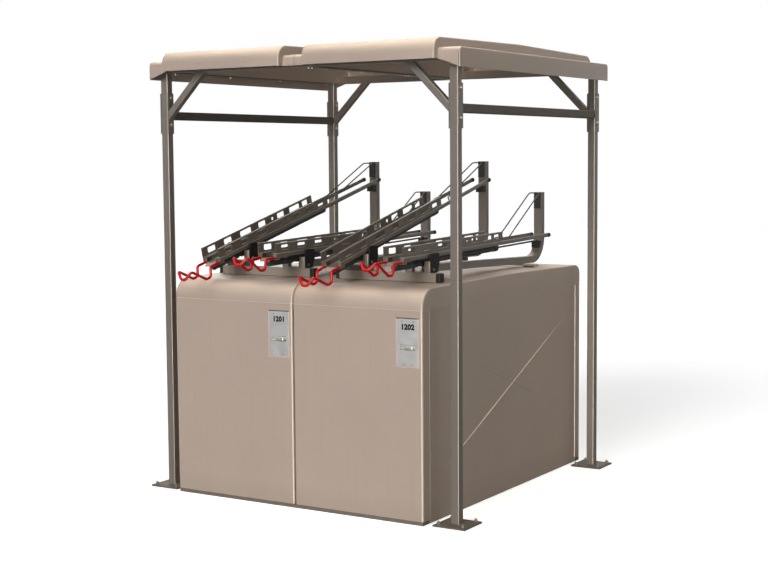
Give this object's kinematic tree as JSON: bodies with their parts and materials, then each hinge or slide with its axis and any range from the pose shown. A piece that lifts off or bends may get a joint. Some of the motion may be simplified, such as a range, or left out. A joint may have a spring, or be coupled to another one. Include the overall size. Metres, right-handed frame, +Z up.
{
  "type": "two-tier bike rack",
  "caption": "Covered bicycle parking unit: hinged-door lockers below, sloping pull-out wheel trays above, and a moulded canopy on posts over them.",
  "frame": {"origin": "on the ground under the middle of the four posts, the centre of the outline of anchor holes", "axes": "+X to the right seen from the front, +Y from the front to the back, +Z up"},
  "size_m": [2.2282, 2.3047, 2.6988],
  "materials": {
    "painted_frame": "powder-coated steel tube and plate, taupe, semi-matt",
    "zinc_bolts": "zinc-plated steel fasteners",
    "gasket_rubber": "black foam rubber strip",
    "roof_moulding": "moulded glass-fibre roof panel, taupe, satin",
    "locker_sheet": "powder-coated steel sheet, taupe, semi-matt",
    "door_sheet": "powder-coated steel sheet doors and covers, light taupe, semi-matt",
    "handle_metal": "brushed stainless plate",
    "paddle_metal": "die-cast latch paddle, grey",
    "rail_steel": "powder-coated steel rails, taupe",
    "cap_plastic": "black moulded end caps",
    "packer_plastic": "dark plastic packers and shims",
    "bracket_black": "black powder-coated steel brackets",
    "pad_rubber": "dark rubber bumper",
    "block_plastic": "black plastic rest block",
    "cradle_steel": "dark painted steel cradle",
    "tray_steel": "dark brown-grey painted steel sheet",
    "handle_red": "red vinyl-dipped steel wire"
  },
  "bodies": {
    "frame": {"post_front_left": "painted_frame", "post_front_right": "painted_frame", "post_rear_left": "painted_frame", "post_rear_right": "painted_frame", "base_plates": "painted_frame", "side_rails": "painted_frame", "knee_braces": "painted_frame", "brace_plates": "painted_frame", "frame_bolts": "zinc_bolts", "roof_frame": "painted_frame", "roof_gaskets": "gasket_rubber", "roof_panel_left": "roof_moulding", "roof_panel_right": "roof_moulding", "roof_joint_cover": "roof_moulding", "roof_bolts": "zinc_bolts", "base_frame": "locker_sheet", "side_panel_left": "locker_sheet", "side_panel_right": "locker_sheet", "centre_partition": "locker_sheet", "diagonal_partitions": "locker_sheet", "top_cover_left": "door_sheet", "top_cover_right": "door_sheet", "panel_rivets": "locker_sheet", "hinge_pins": "zinc_bolts", "cross_rails": "rail_steel", "rail_end_caps": "cap_plastic", "rail_packers": "packer_plastic", "guide_rails": "rail_steel", "pivot_brackets": "bracket_black", "bracket_bolts": "zinc_bolts", "stop_pads": "pad_rubber", "rest_blocks": "block_plastic"},
    "door_front_left": {"door_front_left": "door_sheet", "handle_plate_front_left": "handle_metal"},
    "paddle_front_left": {"paddle_front_left": "paddle_metal"},
    "door_front_right": {"door_front_right": "door_sheet", "handle_plate_front_right": "handle_metal"},
    "paddle_front_right": {"paddle_front_right": "paddle_metal"},
    "door_rear_left": {"door_rear_left": "door_sheet", "handle_plate_rear_left": "handle_metal"},
    "paddle_rear_left": {"paddle_rear_left": "paddle_metal"},
    "door_rear_right": {"door_rear_right": "door_sheet", "handle_plate_rear_right": "handle_metal"},
    "paddle_rear_right": {"paddle_rear_right": "paddle_metal"},
    "cradle_1": {"cradle_1": "cradle_steel"},
    "tray_1": {"tray_1": "tray_steel", "tray_handle_1": "handle_red"},
    "cradle_2": {"cradle_2": "cradle_steel"},
    "tray_2": {"tray_2": "tray_steel", "tray_handle_2": "handle_red"},
    "cradle_3": {"cradle_3": "cradle_steel"},
    "tray_3": {"tray_3": "tray_steel", "tray_handle_3": "handle_red"},
    "cradle_4": {"cradle_4": "cradle_steel"},
    "tray_4": {"tray_4": "tray_steel", "tray_handle_4": "handle_red"}
  },
  "joints": [
    {"name": "door_hinge_front_right", "type": "hinge", "parent": "frame", "child": "door_front_right", "pos_m": [0.017, -1.026, 0.6], "axis": [0, 0, -1], "range_deg": [0, 100]},
    {"name": "door_hinge_front_left", "type": "hinge", "parent": "frame", "child": "door_front_left", "pos_m": [-0.855, -1.026, 0.6], "axis": [0, 0, -1], "range_deg": [0, 100]},
    {"name": "door_hinge_rear_left", "type": "hinge", "parent": "frame", "child": "door_rear_left", "pos_m": [-0.017, 1.026, 0.6], "axis": [0, 0, -1], "range_deg": [0, 100]},
    {"name": "door_hinge_rear_right", "type": "hinge", "parent": "frame", "child": "door_rear_right", "pos_m": [0.855, 1.026, 0.6], "axis": [0, 0, -1], "range_deg": [0, 100]},
    {"name": "paddle_hinge_front_right", "type": "hinge", "parent": "door_front_right", "child": "paddle_front_right", "pos_m": [0.777, -1.036, 1.0015], "axis": [-1, 0, 0], "range_deg": [0, 40], "stiffness_Nm_per_rad": 0.3, "springref_deg": -14.32},
    {"name": "paddle_hinge_front_left", "type": "hinge", "parent": "door_front_left", "child": "paddle_front_left", "pos_m": [-0.095, -1.036, 1.0015], "axis": [-1, 0, 0], "range_deg": [0, 40], "stiffness_Nm_per_rad": 0.3, "springref_deg": -14.32},
    {"name": "paddle_hinge_rear_left", "type": "hinge", "parent": "door_rear_left", "child": "paddle_rear_left", "pos_m": [-0.777, 1.036, 1.0015], "axis": [1, 0, 0], "range_deg": [0, 40], "stiffness_Nm_per_rad": 0.3, "springref_deg": -14.32},
    {"name": "paddle_hinge_rear_right", "type": "hinge", "parent": "door_rear_right", "child": "paddle_rear_right", "pos_m": [0.095, 1.036, 1.0015], "axis": [1, 0, 0], "range_deg": [0, 40], "stiffness_Nm_per_rad": 0.3, "springref_deg": -14.32},
    {"name": "tray_tilt_1", "type": "hinge", "parent": "frame", "child": "cradle_1", "pos_m": [-0.643, -0.6502, 1.4658], "axis": [1, 0, 0], "range_deg": [0, 6]},
    {"name": "tray_slide_1", "type": "slide", "parent": "cradle_1", "child": "tray_1", "axis": [0, -0.9703, -0.2419], "range_m": [0, 0.8]},
    {"name": "tray_tilt_2", "type": "hinge", "parent": "frame", "child": "cradle_2", "pos_m": [-0.227, -0.6502, 1.4358], "axis": [1, 0, 0], "range_deg": [0, 12.5]},
    {"name": "tray_slide_2", "type": "slide", "parent": "cradle_2", "child": "tray_2", "axis": [0, -0.9997, -0.0262], "range_m": [0, 0.8]},
    {"name": "tray_tilt_3", "type": "hinge", "parent": "frame", "child": "cradle_3", "pos_m": [0.227, -0.6502, 1.4658], "axis": [1, 0, 0], "range_deg": [0, 6]},
    {"name": "tray_slide_3", "type": "slide", "parent": "cradle_3", "child": "tray_3", "axis": [0, -0.9703, -0.2419], "range_m": [0, 0.8]},
    {"name": "tray_tilt_4", "type": "hinge", "parent": "frame", "child": "cradle_4", "pos_m": [0.643, -0.6502, 1.4358], "axis": [1, 0, 0], "range_deg": [0, 12.5]},
    {"name": "tray_slide_4", "type": "slide", "parent": "cradle_4", "child": "tray_4", "axis": [0, -0.9997, -0.0262], "range_m": [0, 0.8]}
  ]
}
